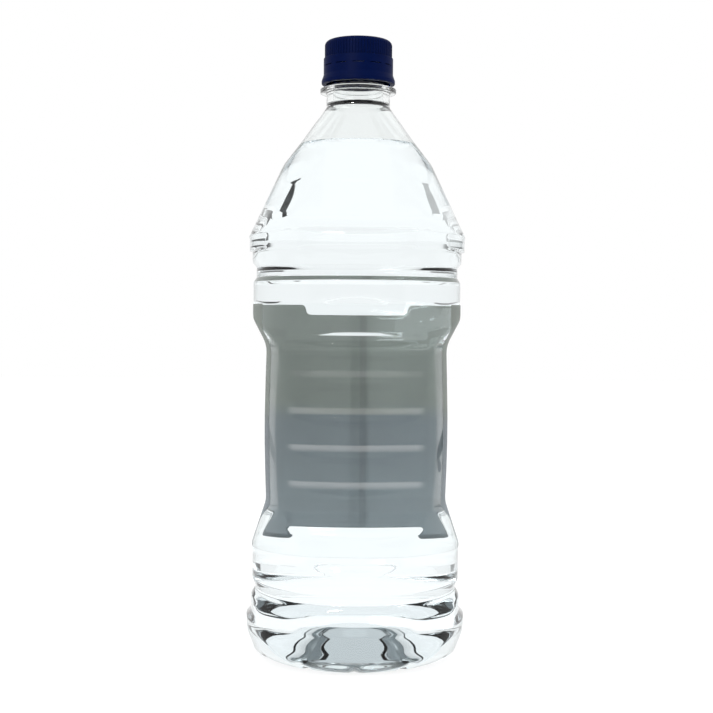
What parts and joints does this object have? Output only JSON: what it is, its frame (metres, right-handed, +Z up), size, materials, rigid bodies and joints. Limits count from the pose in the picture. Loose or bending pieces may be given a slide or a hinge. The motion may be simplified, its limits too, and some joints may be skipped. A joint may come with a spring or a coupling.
{
  "type": "shochu bottle",
  "caption": "Large clear plastic bottle of a clear spirit, with faceted shoulder and waist, ribbed grip panels, a film label and a dark blue screw cap.",
  "frame": {"origin": "middle of the surface that the bottle stands on", "axes": "+Z up through the cap; the label's overlap faces +Y, and the front is -Y; the belt's two recessed ends face +X and -X"},
  "size_m": [0.1076, 0.1076, 0.3023],
  "materials": {
    "clear_wall": "clear blown PET, smooth and glossy",
    "drink": "clear, still spirit",
    "film": "thin shrunk film, clear at the front and printed grey round the back",
    "cap": "satin navy plastic with a moulded grip"
  },
  "bodies": {
    "root": {"bottle": "clear_wall", "shochu": "drink", "label": "film", "cap": "cap"}
  },
  "joints": []
}
